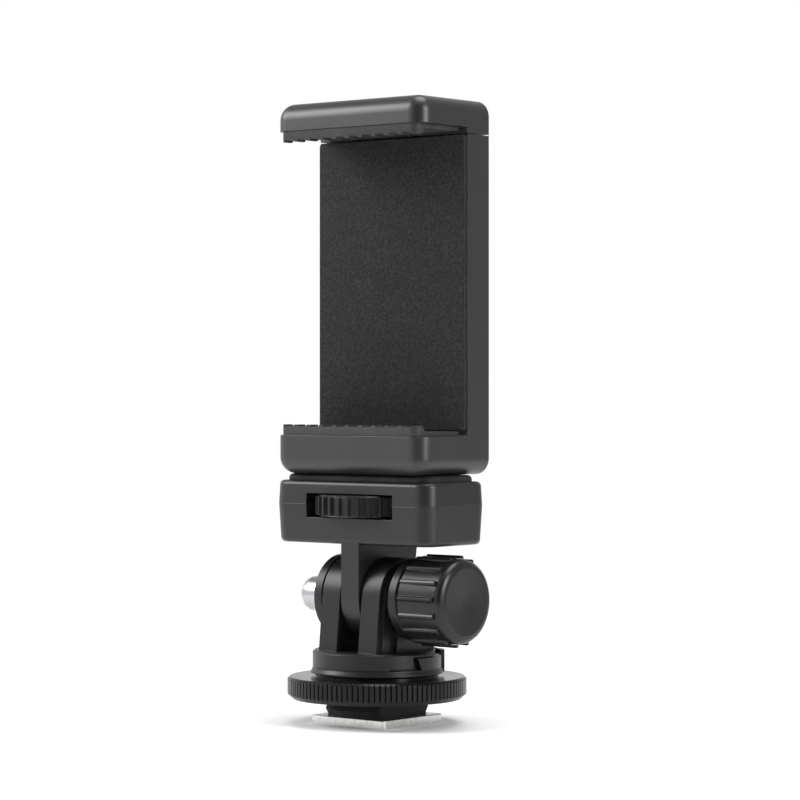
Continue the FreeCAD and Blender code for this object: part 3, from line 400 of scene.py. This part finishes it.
@dataclass(frozen=True)
class TurnedMetal:
    """Lathe-turned metal: fine rings round the X axis and a few dull patches."""

    name: str
    tone: Colour
    dull: Colour
    rough: float = 0.16
    ring_mm: float = 0.11
    around: Point = (1.0, 0.03, 0.03)
    cloud_mm: float = 1.8
    edge_mm: float = 0.10
    relief_mm: float = 0.003

    def material(self) -> bpy.types.Material:
        """The finish as a material."""
        graph = Skin(self.name)
        rings = graph.noise(self.ring_mm, detail=2.0, scale=self.around)
        clouds = graph.noise(self.cloud_mm, detail=4.0)
        rounded = graph.soft_edges(self.edge_mm)
        return graph.shade(
            Base_Color=graph.blend(0.7 * clouds + 0.3 * rings, self.tone, self.dull),
            Metallic=1.0,
            Roughness=self.rough + 0.10 * rings + 0.08 * clouds,
            Normal=graph.bump(rings, self.relief_mm, 0.5, over=rounded),
        )


@dataclass(frozen=True)
class BlackenedSteel:
    """Small screws blackened in oil: dark, with metal showing through on the edges."""

    name: str
    tone: Colour = (0.022, 0.022, 0.024)
    bare: Colour = (0.20, 0.20, 0.21)
    fine_mm: float = 0.09
    edge_mm: float = 0.07
    relief_mm: float = 0.004

    def material(self) -> bpy.types.Material:
        """The finish as a material."""
        graph = Skin(self.name)
        fine = graph.noise(self.fine_mm, detail=4.0)
        rounded = graph.soft_edges(self.edge_mm)
        edge = graph.edge_share(rounded) * fine.between(0.40, 0.62)
        return graph.shade(
            Base_Color=graph.blend(edge, self.tone, self.bare),
            Metallic=0.35 + 0.6 * edge,
            Roughness=0.42 - 0.12 * edge + 0.10 * fine,
            Normal=graph.bump(fine, self.relief_mm, 0.5, over=rounded),
        )


def grey(level: float) -> Colour:
    """Very slightly cool grey of that linear level."""
    return (level, level, 1.03 * level)


# Painted shade: the black tones and specular levels step down from the clamp at the top, through the
# head, to the yoke and lock wheel below, standing in for the light that falls off lower down.
CLAMP_BLACK = MouldedPlastic("clamp_black", grey(0.016), specular=0.58)
HEAD_BLACK = MouldedPlastic("head_black", grey(0.012), specular=0.44, grain_mm=0.19)
YOKE_BLACK = MouldedPlastic("yoke_black", grey(0.009), specular=0.34)
WHEEL_BLACK = MouldedPlastic(
    "wheel_black", grey(0.007), Gloss.POLISHED, specular=0.20, grain_depth_mm=0.006
)
THUMB_BLACK = MouldedPlastic(
    "thumb_black", grey(0.010), Gloss.SEMI_GLOSS, specular=0.36, grain_depth_mm=0.006
)
KNOB_BLACK = MouldedPlastic(
    "knob_black", grey(0.009), Gloss.SEMI_GLOSS, specular=0.36, grain_depth_mm=0.008
)
STEM_BLACK = MouldedPlastic(
    "stem_black", grey(0.011), Gloss.MATT, specular=0.28, grain_mm=0.12, edge_mm=0.10
)
GLIDE_BLACK = MouldedPlastic("glide_black", gloss=Gloss.SEMI_GLOSS, grain_depth_mm=0.004)
PAD_RUBBER = Rubber("pad_rubber")
GASKET_RUBBER = Rubber("gasket_rubber", tone=grey(0.010), bloom=grey(0.022), specular=0.30)
POST_FOAM = Foam("post_foam")
PLATE_STEEL = BrushedPlate("plate_steel")
BOLT_STEEL = TurnedMetal("bolt_steel", tone=(0.55, 0.55, 0.57), dull=(0.38, 0.38, 0.40))
INSERT_BRASS = TurnedMetal(
    "insert_brass", tone=(0.78, 0.58, 0.28), dull=(0.60, 0.42, 0.19), rough=0.26
)
SCREW_BLACK = BlackenedSteel("screw_black")


# Modelling steps

# How near an edge's middle is to a plane that it lies in, in millimetres, and the least part of
# its direction that lies along an axis which it follows.
TOUCH = 0.01
ALONG = 0.9


class Bench:
    """Modelling steps that the sub-assemblies share; sizes are in millimetres."""

    @staticmethod
    def only(piece: bpy.types.Object) -> None:
        """Selects one object and nothing else."""
        bpy.ops.object.select_all(action="DESELECT")
        piece.select_set(True)
        bpy.context.view_layer.objects.active = piece

    @staticmethod
    def settle(piece: bpy.types.Object) -> None:
        """Moves an object's place, turn and scale into its mesh."""
        Bench.only(piece)
        bpy.ops.object.transform_apply(location=True, rotation=True, scale=True)

    @staticmethod
    def block(name: str, low: Point, high: Point) -> bpy.types.Object:
        """Adds a box.

        Args:
            name: the new object's name.
            low: its lowest corner.
            high: its highest corner.

        Returns:
            The box, with its place in its mesh.
        """
        bpy.ops.object.select_all(action="DESELECT")
        middle = [(a + b) / 2 * MM for a, b in zip(low, high)]
        sides = [(b - a) * MM for a, b in zip(low, high)]
        bpy.ops.mesh.primitive_cube_add(size=1.0, location=middle, scale=sides)
        piece = bpy.context.object
        piece.name = piece.data.name = name
        Bench.settle(piece)
        return piece

    @staticmethod
    @contextmanager
    def editing(piece: bpy.types.Object, by: str = "FACE") -> Iterator[bmesh.types.BMesh]:
        """Edit mode with nothing selected, for as long as the block lasts."""
        Bench.only(piece)
        bpy.ops.object.mode_set(mode="EDIT")
        bpy.ops.mesh.select_mode(type=by)
        bpy.ops.mesh.select_all(action="DESELECT")
        yield bmesh.from_edit_mesh(piece.data)
        bpy.ops.object.mode_set(mode="OBJECT")

    @staticmethod
    def pick_edges(piece: bpy.types.Object, mesh: bmesh.types.BMesh, test: Test) -> None:
        """Selects the edges whose middle, in millimetres, and direction pass the test."""
        for edge in mesh.edges:
            start, end = (corner.co for corner in edge.verts)
            edge.select_set(test((start + end) / 2 / MM, (end - start).normalized()))
        bmesh.update_edit_mesh(piece.data)

    @staticmethod
    def round_edges(piece: bpy.types.Object, radius: float, steps: int, test: Test) -> None:
        """Rounds edges.

        Args:
            piece: the mesh.
            radius: the round's radius.
            steps: how many flats the round has.
            test: tells from an edge's middle and direction whether it is rounded.
        """
        with Bench.editing(piece, "EDGE") as mesh:
            Bench.pick_edges(piece, mesh, test)
            bpy.ops.mesh.bevel(
                offset=radius * MM, segments=steps, affect="EDGES", clamp_overlap=True
            )

    @staticmethod
    def repeat(piece: bpy.types.Object, count: int, step: Point) -> None:
        """Copies a mesh in a row, each copy a step further on."""
        row = piece.modifiers.new("Row", "ARRAY")
        row.count = count
        row.use_relative_offset = False
        row.use_constant_offset = True
        row.constant_offset_displace = [part * MM for part in step]
        Bench.only(piece)
        bpy.ops.object.modifier_apply(modifier=row.name)

    @staticmethod
    def trim(piece: bpy.types.Object, outline: bpy.types.Object) -> None:
        """Keeps only what lies inside an outline, which is then deleted."""
        inside = piece.modifiers.new("Inside", "BOOLEAN")
        inside.operation = "INTERSECT"
        inside.object = outline
        Bench.only(piece)
        bpy.ops.object.modifier_apply(modifier=inside.name)
        Bench.only(outline)
        bpy.ops.object.delete()

    @staticmethod
    def join(whole: bpy.types.Object, *others: bpy.types.Object) -> bpy.types.Object:
        """Joins other meshes to the first."""
        Bench.only(whole)
        for other in others:
            other.select_set(True)
        bpy.ops.object.join()
        return whole

    @staticmethod
    def smooth(piece: bpy.types.Object, angle_deg: float = 32.0) -> None:
        """Shades a mesh smooth across its gentle edges, its faces pointing outwards."""
        with Bench.editing(piece):
            bpy.ops.mesh.select_all(action="SELECT")
            bpy.ops.mesh.normals_make_consistent(inside=False)
        Bench.only(piece)
        bpy.ops.object.shade_smooth_by_angle(angle=math.radians(angle_deg))


# Sub-assemblies


@dataclass
class SubAssembly:
    """Pieces of one moving body: it builds what is new and dresses what the frame holds."""

    body: ClassVar[str]
    finishes: ClassVar[Mapping[str, Finish]]
    made: ClassVar[dict[str, bpy.types.Material]] = {}

    @classmethod
    def paint(cls, piece: bpy.types.Object, finish: Finish) -> None:
        """Gives a piece the one material of that finish."""
        if finish.name not in cls.made:
            cls.made[finish.name] = finish.material()
        piece.data.materials.clear()
        piece.data.materials.append(cls.made[finish.name])

    def build(self) -> None:
        """Builds this sub-assembly's new pieces; most have none."""

    def dress(self) -> None:
        """Gives each node of the frame its finish."""
        for node, finish in self.finishes.items():
            self.paint(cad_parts[node], finish)
            log.info("%s: %s in %s", type(self).__name__, node, finish.name)

    def add(self, piece: bpy.types.Object, slot: str, finish: Finish, node: str) -> None:
        """Lets a new piece stand for a node and move with the body.

        Args:
            piece: the finished mesh, its place in its mesh.
            slot: the record's material slot; not used.
            finish: its finish.
            node: the node that it stands for.
        """
        self.paint(piece, finish)
        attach(piece, self.body)
        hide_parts(node)
        log.info("%s: built %s, %d faces", type(self).__name__, piece.name, len(piece.data.polygons))


class Foot(SubAssembly):
    """Steel shoe plate, its screws and the threaded stem."""

    body = "base"
    finishes = {
        "shoe_plate": PLATE_STEEL,
        "foot_screws": SCREW_BLACK,
        "foot_stem": STEM_BLACK,
        "pan_screw": SCREW_BLACK,
    }


class LockWheel(SubAssembly):
    """Knurled wheel that presses the foot in its shoe."""

    body = "wheel"
    finishes = {"lock_wheel": WHEEL_BLACK}


class Swivel(SubAssembly):
    """Yoke with its bolt and collar."""

    body = "swivel"
    finishes = {"yoke": YOKE_BLACK, "pivot_bolt": BOLT_STEEL, "knob_collar": YOKE_BLACK}


class LockRing(SubAssembly):
    """Ring with a thumb tab round the yoke's disc."""

    body = "ring"
    finishes = {"lock_ring": YOKE_BLACK}


class TiltKnob(SubAssembly):
    """Ribbed knob and its brass nut."""

    body = "knob"
    finishes = {"tilt_knob": KNOB_BLACK, "knob_nut": INSERT_BRASS}


@dataclass
class Head(SubAssembly):
    """Head block with its rubber pad; sizes in millimetres."""

    body = "head"
    finishes = {"head_body": HEAD_BLACK, "head_cap": HEAD_BLACK, "head_screws": SCREW_BLACK}
    pad_corner: float = 2.6
    pad_corner_steps: int = 10
    pad_rim: float = 0.85
    pad_rim_steps: int = 4

    def build(self) -> None:
        """Builds the pad as a soft-rimmed sheet."""
        low, high = (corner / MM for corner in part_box("head_pad"))
        pad = Bench.block("head_gasket", tuple(low), tuple(high))
        Bench.round_edges(
            pad, self.pad_corner, self.pad_corner_steps, lambda middle, way: abs(way.z) > ALONG
        )
        Bench.round_edges(
            pad, self.pad_rim, self.pad_rim_steps, lambda middle, way: middle.z > high.z - TOUCH
        )
        Bench.smooth(pad)
        self.add(pad, "pad_rubber", GASKET_RUBBER, "head_pad")


class Thumbwheel(SubAssembly):
    """Ribbed wheel with the mounting screw."""

    body = "thumb"
    finishes = {"thumbwheel": THUMB_BLACK, "mount_screw": BOLT_STEEL}


@dataclass
class JawLining:
    """Rubber lining of a jaw: front lip, a row of low bumps on it and a sheet behind it.

    Sizes are in millimetres. Width, depth and height come from the frame's node.
    """

    name: str
    node: str
    faces_up: bool
    sheet_thickness: float = 0.9
    sheet_inset: float = 0.05
    lip_depth: float = 2.4
    corner: float = 1.7
    corner_steps: int = 8
    edge: float = 0.22
    edge_steps: int = 3
    bump_count: int = 11
    bump_width: float = 1.2
    bump_rise: float = 0.35
    bump_root: float = 0.3
    bump_margin: float = 0.25
    bump_inset: float = 0.04
    bump_round: float = 0.3
    bump_steps: int = 5
    outline_spare: float = 0.9
    smooth_deg: float = 40.0

    def build(self) -> bpy.types.Object:
        """Builds the lining where its node lies.

        Returns:
            The finished mesh.
        """
        low, high = (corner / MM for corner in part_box(self.node))
        seat, tip = (low.z, high.z) if self.faces_up else (high.z, low.z)
        rise = 1.0 if self.faces_up else -1.0
        valley = tip - rise * self.bump_rise
        lip = self._slab(self.name, low, high, low.y + self.lip_depth, seat, valley)
        sheet = self._sheet(low, high, seat, seat + rise * self.sheet_thickness)
        bumps = self._bumps(low, high, valley, rise)
        whole = Bench.join(lip, sheet, bumps)
        Bench.smooth(whole, self.smooth_deg)
        return whole

    def _soften(self, piece: bpy.types.Object, level: float) -> None:
        """Rounds the edges that lie at that height."""
        Bench.round_edges(
            piece, self.edge, self.edge_steps, lambda middle, way: abs(middle.z - level) < TOUCH
        )

    def _sheet(self, low: Vector, high: Vector, seat: float, face: float) -> bpy.types.Object:
        """Thin sheet that runs back from inside the lip, a little narrower than it."""
        bottom, top = sorted((seat, face))
        left, right = low.x + self.sheet_inset, high.x - self.sheet_inset
        front = low.y + self.lip_depth - 2 * self.sheet_inset
        sheet = Bench.block("sheet", (left, front, bottom), (right, high.y, top))
        self._soften(sheet, face)
        return sheet

    def _slab(
        self, name: str, low: Vector, high: Vector, back: float, seat: float, face: float
    ) -> bpy.types.Object:
        """Flat block with rounded front corners.

        Args:
            name: its name.
            low: the lining's lowest corner.
            high: the lining's highest corner.
            back: how far back the block reaches.
            seat: the height of its side on the jaw.
            face: the height of its free side, whose edges are soft.

        Returns:
            The block.
        """
        bottom, top = sorted((seat, face))
        slab = Bench.block(name, (low.x, low.y, bottom), (high.x, back, top))
        Bench.round_edges(
            slab,
            self.corner,
            self.corner_steps,
            lambda middle, way: abs(way.z) > ALONG and middle.y < low.y + TOUCH,
        )
        self._soften(slab, face)
        return slab

    def _bumps(self, low: Vector, high: Vector, valley: float, rise: float) -> bpy.types.Object:
        """Row of low rounded bars across the lip, modelled once and repeated."""
        half = self.bump_width / 2
        first = low.x + self.bump_margin + half
        pitch = (high.x - low.x - 2 * (self.bump_margin + half)) / (self.bump_count - 1)
        root, crest = valley - rise * self.bump_root, valley + rise * self.bump_rise
        bottom, top = sorted((root, crest))
        front, back = low.y + self.bump_inset, low.y + self.lip_depth - self.bump_inset
        bar = Bench.block("bump", (first - half, front, bottom), (first + half, back, top))
        Bench.round_edges(
            bar,
            self.bump_round,
            self.bump_steps,
            lambda middle, way: abs(way.y) > ALONG and abs(middle.z - crest) < TOUCH,
        )
        Bench.repeat(bar, self.bump_count, (pitch, 0.0, 0.0))
        lowest, highest = bottom - self.outline_spare, top + self.outline_spare
        Bench.trim(bar, self._slab("outline", low, high, high.y, lowest, highest))
        return bar


@dataclass
class Clamp(SubAssembly):
    """Lower jaw and post with its cover, lining and foam; sizes in millimetres."""

    body = "clamp"
    finishes = {
        "clamp_body": CLAMP_BLACK,
        "thread_insert": INSERT_BRASS,
        "back_cover": CLAMP_BLACK,
        "cover_screws": SCREW_BLACK,
        "spring_pins": BOLT_STEEL,
        "clamp_springs": BOLT_STEEL,
    }
    foam_corner: float = 0.8
    foam_corner_steps: int = 5
    foam_edge: float = 0.3
    foam_edge_steps: int = 3
    lining: JawLining = field(
        default_factory=lambda: JawLining("lower_lining", "lower_jaw_pad", faces_up=True)
    )

    def build(self) -> None:
        """Builds the lining of the lower jaw and the foam on the post."""
        self.add(self.lining.build(), "pad_rubber", PAD_RUBBER, self.lining.node)
        foam = self._foam()
        self.add(foam, "foam", POST_FOAM, "back_pad")

    def _foam(self) -> bpy.types.Object:
        """Foam sheet with a soft rim."""
        low, high = (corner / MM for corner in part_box("back_pad"))
        foam = Bench.block("post_foam", tuple(low), tuple(high))
        Bench.round_edges(
            foam, self.foam_corner, self.foam_corner_steps, lambda middle, way: abs(way.y) > ALONG
        )
        Bench.round_edges(
            foam,
            self.foam_edge,
            self.foam_edge_steps,
            lambda middle, way: abs(middle.y - low.y) < TOUCH,
        )
        Bench.smooth(foam)
        return foam


@dataclass
class SprungJaw(SubAssembly):
    """Upper jaw with its lining and slider."""

    body = "jaw"
    finishes = {"upper_jaw": CLAMP_BLACK, "jaw_slider": GLIDE_BLACK, "slider_screws": SCREW_BLACK}
    lining: JawLining = field(
        default_factory=lambda: JawLining("upper_lining", "upper_jaw_pad", faces_up=False)
    )

    def build(self) -> None:
        """Builds the lining of the upper jaw."""
        self.add(self.lining.build(), "pad_rubber", PAD_RUBBER, self.lining.node)


# Studio


@dataclass(frozen=True)
class Softbox:
    """Rectangular lamp that points at one spot; sizes in metres, power in watts."""

    name: str
    spot: Point
    size: tuple[float, float]
    power: float
    aim: Point = (0.0, 0.0, 0.06)

    def build(self) -> None:
        """Adds the lamp."""
        lamp = bpy.data.lights.new(self.name, "AREA")
        lamp.shape = "RECTANGLE"
        lamp.size, lamp.size_y = self.size
        lamp.energy = self.power
        holder = bpy.data.objects.new(self.name, lamp)
        bpy.context.scene.collection.objects.link(holder)
        holder.location = self.spot
        beam = Vector(self.aim) - Vector(self.spot)
        holder.rotation_euler = beam.to_track_quat("-Z", "Y").to_euler()


@dataclass(frozen=True)
class Flag:
    """Side of the surround that is darker in reflections.

    The bearing is counted from the front and the rise from level. The reach says, in degrees from
    the flag's middle, where the dark begins to thin out and where it is gone.
    """

    bearing_deg: float
    rise_deg: float
    level: float
    reach_deg: tuple[float, float]

    def share(self, graph: Graph, way: Signal) -> Signal:
        """The light that is left in each direction, from the flag's level up to one."""
        turn, rise = math.radians(self.bearing_deg), math.radians(self.rise_deg)
        flat = math.cos(rise)
        middle = (flat * math.sin(turn), -flat * math.cos(turn), math.sin(rise))
        near, far = (math.cos(math.radians(angle)) for angle in self.reach_deg)
        return 1.0 - (1.0 - self.level) * graph.dot(way, middle).between(far, near)


@dataclass(frozen=True)
class Studio:
    """Pale floor, white surround, softboxes and the camera; sizes in metres."""

    azimuth_deg: float = 39.7
    distance: float = 0.577
    height: float = 0.0657
    sensor_mm: float = 36.0
    clip: tuple[float, float] = (0.01, 20.0)
    focal_px: float = 2965.0
    frame_px: float = 800.0
    axis_px: float = 377.0
    horizon_px: float = 385.0
    floor_side: float = 1.2
    floor_fade: tuple[float, float] = (0.14, 0.40)
    floor_tones: tuple[Colour, Colour] = ((0.93, 0.93, 0.93), (0.96, 0.96, 0.96))
    mottle_mm: float = 30.0
    surround: float = 0.40
    flags: tuple[Flag, ...] = (
        Flag(bearing_deg=39.7, rise_deg=14.0, level=0.03, reach_deg=(30.0, 52.0)),
        Flag(bearing_deg=140.0, rise_deg=0.0, level=0.40, reach_deg=(25.0, 70.0)),
        Flag(bearing_deg=0.0, rise_deg=90.0, level=0.35, reach_deg=(30.0, 75.0)),
    )
    lamps: tuple[Softbox, ...] = (
        Softbox("key", (-0.38, -0.26, 0.34), (0.26, 0.26), 2.2, (0.0, 0.0, 0.09)),
        Softbox("side", (0.50, -0.02, 0.22), (0.14, 0.34), 1.7, (0.0, 0.0, 0.08)),
        Softbox("top", (0.05, 0.10, 0.80), (0.50, 0.50), 4.0),
    )

    def build(self) -> None:
        """Builds all of it."""
        self._camera()
        self._floor()
        self._surround()
        for lamp in self.lamps:
            lamp.build()
        bpy.context.scene.view_settings.view_transform = "Standard"
        log.info("Studio: floor, surround, %d lamps and camera", len(self.lamps))

    def _camera(self) -> None:
        """Level camera as far off and as long as the photograph's."""
        lens = bpy.data.cameras.new("camera")
        lens.sensor_width = self.sensor_mm
        lens.lens = self.focal_px / self.frame_px * lens.sensor_width
        lens.shift_x = (self.frame_px / 2 - self.axis_px) / self.frame_px
        lens.shift_y = (self.horizon_px - self.frame_px / 2) / self.frame_px
        lens.clip_start, lens.clip_end = self.clip
        eye = bpy.data.objects.new("camera", lens)
        bpy.context.scene.collection.objects.link(eye)
        turn, away = math.radians(self.azimuth_deg), self.distance
        eye.location = (away * math.sin(turn), -away * math.cos(turn), self.height)
        eye.rotation_euler = (math.radians(90.0), 0.0, turn)
        bpy.context.scene.camera = eye

    def _floor(self) -> None:
        """Pale floor that takes the shadow and fades into the white surround further off."""
        bpy.ops.object.select_all(action="DESELECT")
        bpy.ops.mesh.primitive_plane_add(size=self.floor_side, location=(0.0, 0.0, 0.0))
        floor = bpy.context.object
        floor.name = "floor"
        graph = Skin("pale_floor")
        mottle = graph.noise(self.mottle_mm, detail=3.0)
        near, far = self.floor_fade
        settings = {"operation": "LENGTH"}
        away = graph.add("ShaderNodeVectorMath", settings, {0: graph.place()}, output="Value")
        graph.shade(
            Base_Color=graph.blend(mottle, *self.floor_tones),
            Roughness=0.9,
            Specular_IOR_Level=0.0,
            Alpha=1.0 - away.between(near, far),
        )
        floor.data.materials.append(graph.material)

    def _surround(self) -> None:
        """White to the camera, and in reflections save where a flag stands; else grey."""
        world = bpy.data.worlds.new("surround")
        bpy.context.scene.world = world
        world.use_nodes = True
        graph = Graph(world.node_tree)
        graph.tree.nodes.clear()
        way = graph.add("ShaderNodeTexCoord", output="Generated")
        mirrored = math.prod((flag.share(graph, way) for flag in self.flags), start=1.0)
        glossy, clear, camera = (
            graph.add("ShaderNodeLightPath", output=f"Is {kind} Ray")
            for kind in ("Glossy", "Transmission", "Camera")
        )
        plain, studio, white = (
            graph.add("ShaderNodeBackground", sockets={"Color": (1.0, 1.0, 1.0), "Strength": strength})
            for strength in (self.surround, mirrored, 1.0)
        )
        lit = graph.add("ShaderNodeMixShader", sockets={0: glossy + clear, 1: plain, 2: studio})
        shown = graph.add("ShaderNodeMixShader", sockets={0: camera, 1: lit, 2: white})
        graph.feed(graph.tree.nodes.new("ShaderNodeOutputWorld"), "Surface", shown)


def main() -> None:
    """Builds and dresses the object and sets up the studio."""
    logging.basicConfig(level=logging.INFO, format="%(name)s: %(message)s")
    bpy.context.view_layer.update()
    Studio().build()
    parts = (
        Foot(), LockWheel(), Swivel(), LockRing(), TiltKnob(),
        Head(), Thumbwheel(), Clamp(), SprungJaw(),
    )
    for part in parts:
        part.build()
        part.dress()


if __name__ == "__main__":
    main()
